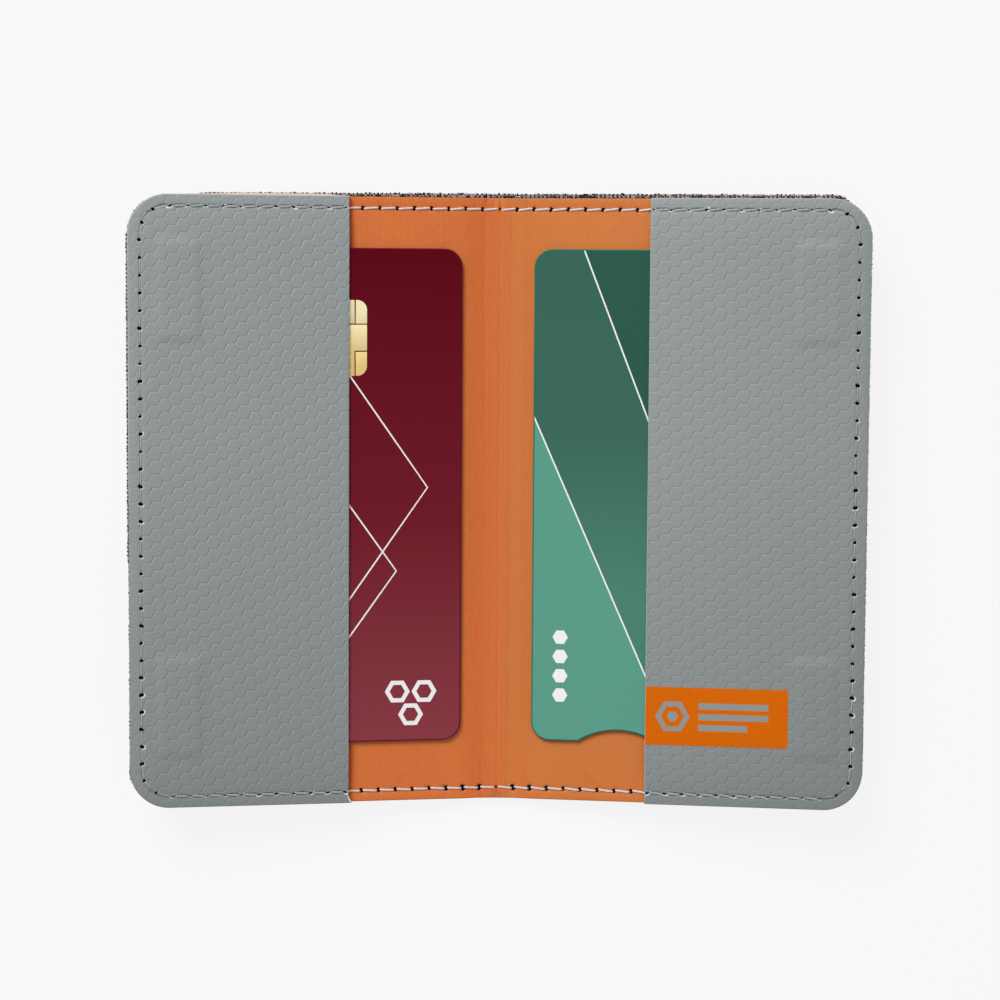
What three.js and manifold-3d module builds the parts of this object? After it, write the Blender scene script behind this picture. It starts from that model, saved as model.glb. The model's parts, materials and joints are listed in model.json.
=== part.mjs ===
// A card holder of two folding leaves, open on its spine in a shallow V, with a card in each pocket.
// Millimetres: +X to the right leaf, +Y up the pockets, +Z up. The origin is under the middle of the spine.
import * as THREE from "three";
import { mergeVertices } from "three/addons/utils/BufferGeometryUtils.js";
import Module from "manifold-3d";

const wasm = await Module();
wasm.setup();

// Cards, of the usual payment card size, and the room round them in a leaf
const cardWidth = 53.98;
const cardHeight = 85.6;
const cardThickness = 0.76;
const cardCornerRadius = 3.18;
const leftCardFromFold = 3.0;
const rightCardFromFold = 2.7;
const roomAboveCard = 8.86; // to the leaf's upper edge
const roomBelowCard = 10.74; // to the leaf's lower edge
const cardEndClearance = 0.27; // to the side of the pocket
const cardClearance = 0.08; // above the lining
const cardHeadroom = 0.11; // below the panel's backing

// The folds and the outer edge
const restAngleDegrees = 8.7; // each leaf stands up this far from flat
const foldClearance = 0.15; // on each side of a fold line
const closingGap = 0.6; // from a closed leaf's highest point to the middle of the spine
const cornerRadius = 6.8; // of the lining at the outer corners
const coverProud = 0.3; // the cover's raw edge stands out past the lining

// Sheets, from the outside in
const coverThickness = 0.8;
const boardThickness = 0.5;
const shieldThickness = 0.1;
const liningThickness = 0.6;
const backingThickness = 0.2;
const panelThickness = 0.6;
const glueGap = 0.02; // glue line between two sheets

// Lockstitch seam round the whole holder
const stitchInset = 2.0; // from the edge of the lining
const threadWidth = 0.4;
const threadThickness = 0.3;
const threadSunk = 0.05; // the bobbin thread lies this deep in the cover
const threadClearance = 0.05;
const threadLap = 0.6; // a run on the lining laps this far onto the panel

// Stiffener board and shielding foil of a leaf
const boardFromFold = 2.6;
const boardInset = 0.3; // inside the edge of the lining
const shieldInset = 0.8;
const liningSlopeRun = 1.2; // the lining climbs onto the board over this width

// Pocket of a leaf
const mouthFromFold = 22.7;
const backingSetback = 0.3; // behind the panel's edge at the mouth
const seamClearance = 0.15; // from the seam to the foot of the pocket's side
const pocketSlopeRun = 0.7; // the panel climbs from the seam over this width

// Closure magnets, two in each leaf, and the bump that each one makes in the panel
const magnetWidth = 6.6;
const magnetLength = 17.2;
const magnetThickness = 0.8;
const magnetCornerRadius = 0.6;
const magnetClearance = 0.1;
const magnetFromEdge = 8.55; // from the leaf's outer edge to a magnet's middle
const magnetFromTop = 16.2; // from the leaf's upper edge to the upper magnet's middle
const magnetFromBottom = 17.6; // from the leaf's lower edge to the lower magnet's middle
const panelOverMagnet = 0.35;
const bumpWall = 0.35; // panel around the magnet at the bump's top
const bumpSlopeRun = 0.4;

// Contact plate let into the left card
const contactsWidth = 11.8;
const contactsHeight = 13.0;
const contactsThickness = 0.2;
const contactsClearance = 0.03;
const contactsCornerRadius = 1.6;
const contactsFromSide = 16.6; // from the card's side at the fold
const contactsFromTop = 8.9;

// Tactile notch, a shallow round dip in the lower end of the right card
const notchFromSide = 8.25; // from the card's side at the fold
const notchWidth = 13.9;
const notchDepth = 2.06;

// Label at the mouth of the right pocket
const labelHeight = 10.2;
const labelThickness = 0.15;
const labelSetback = 0.1; // behind the panel's edge at the mouth
const labelClearance = 0.2; // to the bump over the lower magnet
const labelFromBottom = 15.75; // from the leaf's lower edge to the label's middle
const labelCornerRadius = 0.4;

// Facets and cutting
const cornerSegments = 10;
const smallCornerSegments = 4;
const overrun = 1.0; // a cutting solid reaches this far past the face it cuts

// The leaf and its pocket go round the card.
const pocketGap = cardClearance + cardThickness + cardHeadroom; // from the lining to the panel's backing
const pocketInset = stitchInset + threadWidth / 2 + seamClearance;
const leafWidth = leftCardFromFold + cardWidth + cardEndClearance + pocketSlopeRun + pocketInset;
const leafHeight = cardHeight + roomAboveCard + roomBelowCard;
const cardShift = (roomBelowCard - roomAboveCard) / 2;

// Levels of the flat spine, from its underside
const spineLiningBottom = coverThickness + glueGap;
const foldLevel = spineLiningBottom + liningThickness;

// Levels of a leaf, from its fold line up
const coverBottom = -foldLevel;
const boardBottom = coverBottom + coverThickness + glueGap;
const shieldBottom = boardBottom + boardThickness + glueGap;
const liningBottom = shieldBottom + shieldThickness + glueGap;
const liningTop = liningBottom + liningThickness;
const cardBottom = liningTop + cardClearance;
const backingBottom = liningTop + glueGap;
const panelBottom = backingBottom + backingThickness + glueGap;
const seamTop = panelBottom + panelThickness;
const panelTop = seamTop + pocketGap;
const magnetBottom = panelBottom + pocketGap;
const bumpTop = magnetBottom + magnetThickness + glueGap + panelOverMagnet;

// The spine is as wide as the closed leaves need.
const spineWidth = 2 * (bumpTop + closingGap);

// Turns a closed geometry into a solid that can be joined and cut.
function solidOf(geometry) {
  const bare = geometry.clone();
  bare.deleteAttribute("normal");
  bare.deleteAttribute("uv");
  const merged = mergeVertices(bare);
  return new wasm.Manifold(
    new wasm.Mesh({
      numProp: 3,
      vertProperties: merged.attributes.position.array,
      triVerts: new Uint32Array(merged.index.array),
    }),
  );
}

// Turns a joined or cut solid back into a geometry.
function geometryOf(solid) {
  const { vertProperties, triVerts } = solid.getMesh();
  const geometry = new THREE.BufferGeometry();
  geometry.setAttribute("position", new THREE.BufferAttribute(vertProperties, 3));
  geometry.setIndex(new THREE.BufferAttribute(triVerts, 1));
  const flat = geometry.toNonIndexed();
  flat.computeVertexNormals();
  return flat;
}

// A flat sheet inside the given ring of points.
function plate(ring, bottom, thickness) {
  const geometry = new THREE.ExtrudeGeometry(new THREE.Shape(ring), { depth: thickness, bevelEnabled: false });
  return geometry.translate(0, 0, bottom);
}

// A strip of the given side view, seen along the fold: its points are [from the fold, level].
function strip(points, centreY, width) {
  const sideView = points.map(([x, level]) => new THREE.Vector2(x, level));
  return plate(sideView, -width / 2, width).rotateX(Math.PI / 2).translate(0, centreY, 0);
}

// A closed solid through rings of points, one ring at each level.
function loft(rings, levels) {
  const count = rings[0].length;
  const last = (rings.length - 1) * count;
  const positions = rings.flatMap((ring, row) => ring.flatMap((point) => [point.x, point.y, levels[row]]));
  const index = [];
  for (const [a, b, c] of THREE.ShapeUtils.triangulateShape(rings[0], [])) index.push(c, b, a);
  for (const [a, b, c] of THREE.ShapeUtils.triangulateShape(rings.at(-1), [])) {
    index.push(a + last, b + last, c + last);
  }
  for (let row = 0; row < last; row += count) {
    for (let i = 0; i < count; i += 1) {
      const next = (i + 1) % count;
      index.push(row + i, row + next, row + count + next);
      index.push(row + i, row + count + next, row + count + i);
    }
  }
  const geometry = new THREE.BufferGeometry();
  geometry.setAttribute("position", new THREE.Float32BufferAttribute(positions, 3));
  return geometry.setIndex(index);
}

// The points of a quarter circle, from the given angle on.
function quarterArc(centreX, centreY, radius, from, segments = cornerSegments) {
  const arc = new THREE.EllipseCurve(centreX, centreY, radius, radius, from, from + Math.PI / 2);
  return arc.getPoints(segments);
}

// The points round a leaf: straight at the fold side, with two round outer corners.
function leafRing(inset, fromFold) {
  const outer = leafWidth - inset;
  const top = leafHeight / 2 - inset;
  const radius = cornerRadius - inset;
  return [
    new THREE.Vector2(fromFold, -top),
    ...quarterArc(outer - radius, radius - top, radius, -Math.PI / 2),
    ...quarterArc(outer - radius, top - radius, radius, 0),
    new THREE.Vector2(fromFold, top),
  ];
}

// The points of a seam round a leaf, open at the fold side.
function seamRing(width, fromFold) {
  const inside = leafRing(stitchInset + width / 2, fromFold);
  return [...leafRing(stitchInset - width / 2, fromFold), ...inside.reverse()];
}

// The points round a rectangle with round corners.
function roundedRing(width, height, radius, centreX, centreY) {
  const [x, y] = [width / 2 - radius, height / 2 - radius];
  return [[x, -y], [x, y], [-x, y], [-x, -y]].flatMap(([cornerX, cornerY], quarter) => {
    const from = ((quarter - 1) * Math.PI) / 2;
    return quarterArc(centreX + cornerX, centreY + cornerY, radius, from, smallCornerSegments);
  });
}

// The points round a card with a shallow round notch in its lower edge.
function notchedCardRing(centreX, centreY) {
  const notchTop = centreY - cardHeight / 2 + notchDepth;
  const middle = centreX - cardWidth / 2 + notchFromSide + notchWidth / 2;
  const radius = (notchWidth ** 2 / 4 + notchDepth ** 2) / (2 * notchDepth);
  const half = Math.asin(notchWidth / 2 / radius);
  const [from, to] = [Math.PI / 2 + half, Math.PI / 2 - half];
  const arc = new THREE.EllipseCurve(middle, notchTop - radius, radius, radius, from, to, true);
  const blank = roundedRing(cardWidth, cardHeight, cardCornerRadius, centreX, centreY);
  return [...arc.getPoints(2 * cornerSegments), ...blank];
}

// The raised middle of a pocket, whose sides slope in from the seam above the given level.
function raisedMiddle(level, reachDown, fromFold) {
  const foot = leafRing(pocketInset, fromFold);
  const top = leafRing(pocketInset + pocketSlopeRun, fromFold);
  return solidOf(loft([foot, foot, top], [level - reachDown, level, level + pocketGap]));
}

// A sheet over the pocket: flat where it is sewn down, raised in the middle, open at the mouth.
function pocketSheet(bottom, thickness, mouth) {
  const top = bottom + thickness;
  const sewnDown = solidOf(plate(leafRing(0, mouth), bottom, thickness));
  const reachPast = mouth - overrun;
  const trim = solidOf(plate(leafRing(0, mouth), bottom - overrun, pocketGap + thickness + 2 * overrun));
  return sewnDown
    .add(raisedMiddle(top, thickness / 2, reachPast))
    .subtract(raisedMiddle(bottom, overrun, reachPast))
    .intersect(trim);
}

// The middle of the upper or the lower magnet in a leaf; side is 1 on the right and -1 on the left.
function magnetPlace(side, row) {
  const y = row > 0 ? leafHeight / 2 - magnetFromTop : magnetFromBottom - leafHeight / 2;
  return [leafWidth - magnetFromEdge, side * y];
}

// The panel with a bump over each magnet and a recess under it.
function panelSolid(side) {
  let panel = pocketSheet(panelBottom, panelThickness, mouthFromFold);
  for (const row of [1, -1]) {
    const [x, y] = magnetPlace(side, row);
    const [topWidth, topLength] = [magnetWidth + 2 * bumpWall, magnetLength + 2 * bumpWall];
    const topRadius = magnetCornerRadius + bumpWall;
    const [foot, top] = [bumpSlopeRun, 0].map((grow) =>
      roundedRing(topWidth + 2 * grow, topLength + 2 * grow, topRadius + grow, x, y),
    );
    const buried = panelTop - panelThickness / 2;
    panel = panel.add(solidOf(loft([foot, foot, top], [buried, panelTop, bumpTop])));
  }
  for (const row of [1, -1]) {
    const [x, y] = magnetPlace(side, row);
    const width = magnetWidth + 2 * magnetClearance;
    const length = magnetLength + 2 * magnetClearance;
    const recess = roundedRing(width, length, magnetCornerRadius + magnetClearance, x, y);
    const depth = bumpTop - panelOverMagnet - magnetBottom + overrun;
    panel = panel.subtract(solidOf(plate(recess, magnetBottom - overrun, depth)));
  }
  return panel;
}

// Where the lining climbs from the fold onto the board.
const slopeTop = boardFromFold - foldClearance;
const slopeFoot = slopeTop - liningSlopeRun;

// The lining of a leaf: low at the fold, then up a slope onto the board and foil.
function liningSolid() {
  const low = -liningThickness;
  const underside = [[0, low], [slopeFoot, low], [slopeTop, liningBottom], [leafWidth, liningBottom]];
  const upperSide = [[leafWidth, liningTop], [slopeTop, liningTop], [slopeFoot, 0], [0, 0]];
  const slab = strip([...underside, ...upperSide], 0, leafHeight + 2 * overrun);
  const trim = plate(leafRing(0, foldClearance), low - overrun, liningTop - low + 2 * overrun);
  return solidOf(slab).intersect(solidOf(trim));
}

// The cover of a leaf, with the groove that the bobbin thread pulls into its outside.
function coverSolid() {
  const sheet = solidOf(plate(leafRing(-coverProud, foldClearance), coverBottom, coverThickness));
  const depth = threadSunk + threadThickness + threadClearance;
  const band = seamRing(threadWidth + 2 * threadClearance, foldClearance - overrun);
  return sheet.subtract(solidOf(plate(band, coverBottom - overrun, depth + overrun)));
}

// The needle thread of a leaf: up the lining, onto the panel at the mouth and round its edge.
function needleThreadSolid() {
  const start = glueGap + threadThickness + threadClearance; // clear of the spine's thread when closed
  const mouth = mouthFromFold - threadClearance;
  const lapEnd = mouthFromFold + threadLap;
  const [low, onLining, onPanel] = [0, liningTop, seamTop].map((level) => level + glueGap);
  const underside = [[start, low], [slopeFoot, low], [slopeTop, onLining], [mouth, onLining]];
  const step = [[mouth, onPanel], [lapEnd, onPanel], [lapEnd, onPanel + threadThickness]];
  const stepTop = [onPanel, onLining].map((level) => [mouth - threadThickness, level + threadThickness]);
  const slope = [[slopeTop, onLining], [slopeFoot, low], [start, low]];
  const upperSide = [...stepTop, ...slope.map(([x, level]) => [x, level + threadThickness])];
  const fromCentre = leafHeight / 2 - stitchInset;
  let thread = solidOf(plate(seamRing(threadWidth, mouthFromFold), onPanel, threadThickness));
  for (const sign of [1, -1]) {
    thread = thread.add(solidOf(strip([...underside, ...step, ...upperSide], sign * fromCentre, threadWidth)));
  }
  return thread;
}

// Finishes: colour, roughness and metalness of each material.
function finish(color, roughness, metalness = 0) {
  return new THREE.MeshStandardMaterial({ color, roughness, metalness });
}
const wovenCloth = finish(0x3a3635, 0.95);
const orangeLeather = finish(0xcc703b, 0.6);
const greyLeather = finish(0x8c9292, 0.7);
const backingCloth = finish(0x6f7474, 0.9);
const blackBoard = finish(0x252525, 0.8);
const foil = finish(0xc4c6c8, 0.35, 1);
const nickel = finish(0xb4b2ae, 0.3, 1);
const paleThread = finish(0xc9c6c4, 0.85);
const redPlastic = finish(0x6f1b28, 0.4);
const greenPlastic = finish(0x457968, 0.4);
const goldPlate = finish(0xd9c08c, 0.3, 1);
const orangeLabel = finish(0xcf6401, 0.5);

// Makes a named piece and adds it to its group.
function addPiece(group, name, shape, material) {
  const geometry = shape.isBufferGeometry ? shape : geometryOf(shape);
  const mesh = new THREE.Mesh(geometry, material);
  mesh.name = name;
  group.add(mesh);
}

const holder = new THREE.Group();

// The spine: cover and lining between the two folds, with the seam across each end
function addSpine() {
  const width = spineWidth - 2 * foldClearance;
  const across = (height, bottom, thickness) =>
    new THREE.BoxGeometry(width, height, thickness).translate(0, 0, bottom + thickness / 2);
  const depth = threadSunk + threadThickness + threadClearance;
  const grooveWidth = threadWidth + 2 * threadClearance;
  const groove = new THREE.BoxGeometry(spineWidth + overrun, grooveWidth, depth + overrun);
  groove.translate(0, 0, (depth - overrun) / 2);
  let cover = solidOf(across(leafHeight + 2 * coverProud, 0, coverThickness));
  for (const [end, sign] of [["top", 1], ["bottom", -1]]) {
    const y = sign * (leafHeight / 2 - stitchInset);
    cover = cover.subtract(solidOf(groove.clone().translate(0, y, 0)));
    const needle = across(threadWidth, foldLevel + glueGap, threadThickness).translate(0, y, 0);
    const bobbin = across(threadWidth, threadSunk, threadThickness).translate(0, y, 0);
    addPiece(holder, "spine_needle_thread_" + end, needle, paleThread);
    addPiece(holder, "spine_bobbin_thread_" + end, bobbin, paleThread);
  }
  addPiece(holder, "spine_cover", cover, wovenCloth);
  addPiece(holder, "spine_lining", across(leafHeight, spineLiningBottom, liningThickness), orangeLeather);
}

// The sheets, magnets and seam of one leaf, built to the right and turned round for the left
function addLeafSheets(leaf, hand, side) {
  addPiece(leaf, hand + "_cover", coverSolid(), wovenCloth);
  const board = plate(leafRing(boardInset, boardFromFold), boardBottom, boardThickness);
  addPiece(leaf, hand + "_board", board, blackBoard);
  const shield = plate(leafRing(shieldInset, boardFromFold), shieldBottom, shieldThickness);
  addPiece(leaf, hand + "_shield", shield, foil);
  addPiece(leaf, hand + "_lining", liningSolid(), orangeLeather);
  const backing = pocketSheet(backingBottom, backingThickness, mouthFromFold + backingSetback);
  addPiece(leaf, hand + "_panel_backing", backing, backingCloth);
  addPiece(leaf, hand + "_panel", panelSolid(side), greyLeather);
  for (const [place, row] of [["upper", 1], ["lower", -1]]) {
    const ring = roundedRing(magnetWidth, magnetLength, magnetCornerRadius, ...magnetPlace(side, row));
    addPiece(leaf, hand + "_magnet_" + place, plate(ring, magnetBottom, magnetThickness), nickel);
  }
  addPiece(leaf, hand + "_needle_thread", needleThreadSolid(), paleThread);
  const bobbin = plate(seamRing(threadWidth, foldClearance), coverBottom + threadSunk, threadThickness);
  addPiece(leaf, hand + "_bobbin_thread", bobbin, paleThread);
}

// The left card with its contact plate let in
function addLeftCard(leaf, side) {
  const centreX = leftCardFromFold + cardWidth / 2;
  const centreY = side * cardShift;
  const cardTop = cardBottom + cardThickness;
  const plateX = leftCardFromFold + contactsFromSide + contactsWidth / 2;
  const plateY = side * (cardShift + cardHeight / 2 - contactsFromTop - contactsHeight / 2);
  const grownRing = (grow) => {
    const radius = contactsCornerRadius + grow;
    return roundedRing(contactsWidth + 2 * grow, contactsHeight + 2 * grow, radius, plateX, plateY);
  };
  const seatDepth = contactsThickness + contactsClearance;
  const seat = plate(grownRing(contactsClearance), cardTop - seatDepth, seatDepth + overrun);
  const ring = roundedRing(cardWidth, cardHeight, cardCornerRadius, centreX, centreY);
  const blank = plate(ring, cardBottom, cardThickness);
  addPiece(leaf, "left_card", solidOf(blank).subtract(solidOf(seat)), redPlastic);
  const contacts = plate(grownRing(0), cardTop - contactsThickness, contactsThickness);
  addPiece(leaf, "left_card_contacts", contacts, goldPlate);
}

// The right card and the label on the right panel
function addRightCardAndLabel(leaf) {
  const cardRing = notchedCardRing(rightCardFromFold + cardWidth / 2, cardShift);
  addPiece(leaf, "right_card", plate(cardRing, cardBottom, cardThickness), greenPlastic);
  const start = mouthFromFold + labelSetback;
  const bumpFoot = leafWidth - magnetFromEdge - magnetWidth / 2 - bumpWall - bumpSlopeRun;
  const width = bumpFoot - labelClearance - start;
  const y = labelFromBottom - leafHeight / 2;
  const labelRing = roundedRing(width, labelHeight, labelCornerRadius, start + width / 2, y);
  addPiece(leaf, "right_label", plate(labelRing, panelTop + glueGap, labelThickness), orangeLabel);
}

addSpine();
for (const [hand, side] of [["left", -1], ["right", 1]]) {
  const leaf = new THREE.Group();
  leaf.position.set((side * spineWidth) / 2, 0, foldLevel);
  leaf.rotation.set(0, -side * THREE.MathUtils.degToRad(restAngleDegrees), side > 0 ? 0 : Math.PI);
  addLeafSheets(leaf, hand, side);
  if (side > 0) addRightCardAndLabel(leaf);
  else addLeftCard(leaf, side);
  holder.add(leaf);
}

export default holder;
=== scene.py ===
# A card holder of two folding leaves, open on its spine in a shallow V, with a card in each pocket.
# Lengths are millimetres until a mesh is made, which is in metres. +X is to the right leaf and +Z up.
import json
import math
import random

import bpy
import numpy as np
from mathutils import Matrix, Vector
from mathutils.geometry import delaunay_2d_cdt


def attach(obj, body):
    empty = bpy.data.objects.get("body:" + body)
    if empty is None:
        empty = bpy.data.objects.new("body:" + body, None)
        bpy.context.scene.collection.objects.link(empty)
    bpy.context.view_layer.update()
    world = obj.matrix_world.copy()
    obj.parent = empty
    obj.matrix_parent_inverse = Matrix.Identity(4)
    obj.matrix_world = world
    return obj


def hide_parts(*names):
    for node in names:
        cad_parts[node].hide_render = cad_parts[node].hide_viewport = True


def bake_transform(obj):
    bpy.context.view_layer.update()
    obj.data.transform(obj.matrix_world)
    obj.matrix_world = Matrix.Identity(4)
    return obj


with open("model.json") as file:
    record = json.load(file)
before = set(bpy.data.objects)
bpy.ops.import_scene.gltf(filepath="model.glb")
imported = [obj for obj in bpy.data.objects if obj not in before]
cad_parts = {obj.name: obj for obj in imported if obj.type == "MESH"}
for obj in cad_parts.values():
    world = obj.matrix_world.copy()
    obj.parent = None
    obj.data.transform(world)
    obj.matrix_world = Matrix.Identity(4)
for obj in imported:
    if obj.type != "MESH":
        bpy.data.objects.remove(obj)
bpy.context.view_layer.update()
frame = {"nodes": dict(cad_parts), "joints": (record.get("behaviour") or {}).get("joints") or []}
MM = 0.001

# Camera
# It hangs 0.45 m above the spine, towards the upper end, and looks almost straight down.
# Its place and turn were fitted to the holder's edges, with the cards' 85.6 mm as the scale.
camera_place = Vector((-6.776, 39.245, 451.66))
camera_yaw = math.radians(0.909)
camera_pitch = math.radians(4.964)
camera_roll = math.radians(-0.388)
focal_share = 2.5885  # focal length as a share of the picture's width

camera_data = bpy.data.cameras.new("camera")
camera_data.lens = camera_data.sensor_width * focal_share
camera = bpy.data.objects.new("camera", camera_data)
into_view = (
    Matrix.Rotation(camera_roll, 3, "Z")
    @ Matrix.Rotation(camera_pitch, 3, "X")
    @ Matrix.Rotation(camera_yaw, 3, "Y")
)
camera.matrix_world = Matrix.Translation(camera_place * MM) @ into_view.transposed().to_4x4()
bpy.context.scene.collection.objects.link(camera)
bpy.context.scene.camera = camera

# Folds
# The leaves turn on two folds beside the flat spine. A sheet that crosses a fold is made as two halves,
# each from the spine's middle outwards, and bends smoothly over the fold. Points of a half are given flat:
# out from the middle, up along the fold, and height above the lining at the fold.
SIDES = {"left": -1, "right": 1}
right_fold = next(joint for joint in frame["joints"] if joint["name"] == "right_fold")
fold_from_middle = right_fold["pos_m"][0] / MM
fold_level = right_fold["pos_m"][2] / MM
rest_angle = -math.radians(right_fold["range_deg"][0])
fold_reach = 2.2  # on each side of the fold line


def laid_flat(node, side):
    """The lowest and highest corner of a leaf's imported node, once its leaf is laid flat."""
    corners = np.array([vertex.co for vertex in frame["nodes"][node].data.vertices]) / MM
    out = side * corners[:, 0] - fold_from_middle
    up = corners[:, 2] - fold_level
    cos, sin = math.cos(rest_angle), math.sin(rest_angle)
    flat = np.stack([fold_from_middle + out * cos + up * sin, corners[:, 1], up * cos - out * sin], 1)
    return flat.min(0), flat.max(0)


def folded_up(flat, side):
    """The places, in metres, that points of a flat half have on the open holder."""
    share = np.clip((flat[:, 0] - fold_from_middle + fold_reach) / (2 * fold_reach), 0, 1)
    angle = rest_angle * share * share * (3 - 2 * share)
    out = flat[:, 0] - fold_from_middle
    up = flat[:, 2]
    x = fold_from_middle + out * np.cos(angle) - up * np.sin(angle)
    z = fold_level + out * np.sin(angle) + up * np.cos(angle)
    return np.stack([side * x, flat[:, 1], z], 1) * MM


def bend_with(piece, hand):
    """Bakes a half's place into its mesh."""
    start = (SIDES[hand] * (fold_from_middle + fold_reach) * MM, 0, 0)
    end = (SIDES[hand] * (fold_from_middle - fold_reach) * MM, 0, 0)
    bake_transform(piece)


# Outline and seam
# Every sheet of a leaf has the same rounded outline. A lockstitch runs round the whole holder inside it.
# The needle's places are spaced evenly along each half, from the spine's middle round the leaf and back.
leaf_edge, leaf_top = laid_flat("right_lining", 1)[1][:2]
corner_radius = 6.8
mouth = laid_flat("right_panel", 1)[0][0]  # where the pockets begin, out from the middle
seam_inset = 2.0
stitches_in_half = 74
needle_wander = 0.07  # across the seam
size_beside_spine = 0.5  # of the needle holes there, as a share
size_at_corner = 0.75
panel_row_stretch = (1.15, 0.38)  # of the holes in the long rows on the panels, along and across the seam


def leaf_outline(inset, spacing=1.0):
    """Points round a half from the spine's middle at its upper end to the middle at its lower end."""
    outer, top, radius = leaf_edge - inset, leaf_top - inset, corner_radius - inset
    turn = np.linspace(math.pi / 2, 0, 25)
    across = np.linspace(0, outer - radius, round((outer - radius) / spacing) + 1)[:-1]
    down = np.linspace(top - radius, 0, round((top - radius) / spacing) + 1)[1:]
    upper = [(x, top) for x in across]
    upper += [(outer - radius + radius * math.cos(a), top - radius + radius * math.sin(a)) for a in turn]
    upper = np.array(upper + [(outer, y) for y in down])
    return np.concatenate([upper, upper[-2::-1] * (1, -1)])


def step_lengths(line):
    return np.linalg.norm(np.diff(line, axis=0), axis=1)


def along(line, places, values=None):
    """The points, or the values given for the points, at lengths along a line through points."""
    lengths = np.concatenate([[0], np.cumsum(step_lengths(line))])
    values = line if values is None else values
    return np.stack([np.interp(places, lengths, column) for column in values.T], 1)


def unit(ways):
    return ways / np.linalg.norm(ways, axis=1)[:, None]


def turned_left(ways):
    return np.stack([-ways[:, 1], ways[:, 0]], 1)


seam_line = leaf_outline(seam_inset, spacing=0.5)
seam_length = step_lengths(seam_line).sum()
needle_places = along(seam_line, np.linspace(0, seam_length, stitches_in_half + 1))
seam_run = unit(np.gradient(needle_places, axis=0))
seam_outwards = turned_left(seam_run)
chance = random.Random(7)
astray = np.array([chance.uniform(-needle_wander, needle_wander) for _ in needle_places])
astray[0] = astray[-1] = 0
needle_places += seam_outwards * astray[:, None]
in_rows = np.abs(seam_run[:, 0]) > 0.9
hole_slant = np.array([chance.choice((-0.7, 0.7, 0.5)) for _ in needle_places])
hole_size = np.array([chance.uniform(0.8, 1.25) for _ in needle_places])
hole_size[[0, -1]] = size_beside_spine
hole_size[(np.abs(seam_run) < 0.9).all(1)] *= size_at_corner
rows_on_panels = in_rows & (needle_places[:, 0] > mouth)
hole_stretch = np.where(rows_on_panels[:, None], panel_row_stretch, 1.0)
# Each needle hole on the panels has a painted highlight beside it, to its lower right, where light catches its
# rim; these give its turn and reach.
glint_turn = -0.9 + np.array([chance.uniform(-0.9, 0.9) for _ in needle_places])
glint_reach = np.array([chance.choice((1.0, 1.2, 1.3, 1.5)) for _ in needle_places])
glint_reach = np.where(rows_on_panels, 0.7 + glint_reach, glint_reach)


# Cover
# One piece of dark heathered cloth in plain weave, which the holder lies on. It is cut raw, so yarn ends
# show all round, and it stands out past the lining at the upper edge, more so to the right.
cover_low, cover_high = laid_flat("right_cover", 1)
cover_bottom, cover_top = cover_low[2], cover_high[2]
yarn_pitch = 0.36
cover_groove_depth = 0.42
cover_groove_width = 0.55
hidden = -0.1  # the cover's edge lies this far inside the lining's where it doesn't show
yarn_end_start = -0.35  # inside the cut


def outwards_of(line):
    """The way out of the leaf at each point of its outline."""
    return turned_left(unit(np.gradient(line, axis=0)))


def from_edge(points):
    """How far points lie inside the leaf's outline."""
    corner = np.abs(points[:, :2]) - (leaf_edge - corner_radius, leaf_top - corner_radius)
    return corner_radius - np.linalg.norm(np.maximum(corner, 0), axis=1) - np.minimum(corner.max(1), 0)


def hump(values, at, width):
    """1 where a value is at a place, and less on both sides of it."""
    return np.exp(-(((values - at) / width) ** 2))


def half_rim(edge):
    """A half's rim, counterclockwise: its edge, and the spine's middle with points close together."""
    up = np.linspace(edge[0][1], edge[-1][1], 121)[1:-1]
    at_needle = leaf_top - seam_inset + np.linspace(-0.5, 0.5, 13)
    up = np.unique(np.concatenate([up, at_needle, -at_needle]).round(3))[::-1]
    return np.concatenate([edge[::-1], np.column_stack([np.zeros_like(up), up])])


def triangulated(rim, lines=(), spots=()):
    """Points and triangles inside a ring of points, with triangle sides along the lines, and which of the
    points the ring's own points became."""
    points = [Vector(point) for point in rim]
    edges = []
    for line in lines:
        edges.extend((i, i + 1) for i in range(len(points), len(points) + len(line) - 1))
        points.extend(Vector(point) for point in line)
    points.extend(Vector(point) for point in spots)
    made = delaunay_2d_cdt(points, edges, [list(range(len(rim)))], 1, 1e-4, True)
    inside = [face for face, within in zip(made[2], made[5]) if within]
    used = sorted({corner for face in inside for corner in face})
    new_number = {old: new for new, old in enumerate(used)}
    became = {old: new_number[i] for i in used for old in made[3][i] if old < len(rim)}
    faces = [tuple(new_number[corner] for corner in face) for face in inside]
    return np.array([tuple(made[0][i]) for i in used]), faces, became


def ring_round(triangles):
    """The numbers of the points round a sheet of triangles, in order."""
    sides = {(face[i], face[i - 2]) for face in triangles for i in range(3)}
    after = {start: end for start, end in sides if (end, start) not in sides}
    ring = [next(iter(after))]
    while len(ring) < len(after):
        ring.append(after[ring[-1]])
    return ring


def closed_sheet(rim, upper, lower):
    """Points and faces of a sheet with a wall round its edge, and each face's kind: 0 on the upper side,
    1 on the lower side and 2 on the wall. Each side is given as its height, its lines and its spots."""
    upper_points, upper_faces, _ = triangulated(rim, *upper[1:])
    ring = ring_round(upper_faces)
    lower_points, lower_faces, became = triangulated(upper_points[ring], *lower[1:])
    count = len(upper_points)
    below = [count + became[i] for i in range(len(ring))]
    walls = [(ring[i - 1], below[i - 1], below[i], ring[i]) for i in range(len(ring))]
    lower_faces = [tuple(count + corner for corner in face[::-1]) for face in lower_faces]
    heights = np.concatenate([upper[0](upper_points), lower[0](lower_points)])
    flat = np.column_stack([np.concatenate([upper_points, lower_points]), heights])
    kinds = [0] * len(upper_faces) + [1] * len(lower_faces) + [2] * len(walls)
    return flat, [*upper_faces, *lower_faces, *walls], np.array(kinds)


def flat_at(level):
    """A height that is the same at all points."""
    return lambda points: np.full(len(points), level)


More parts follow.
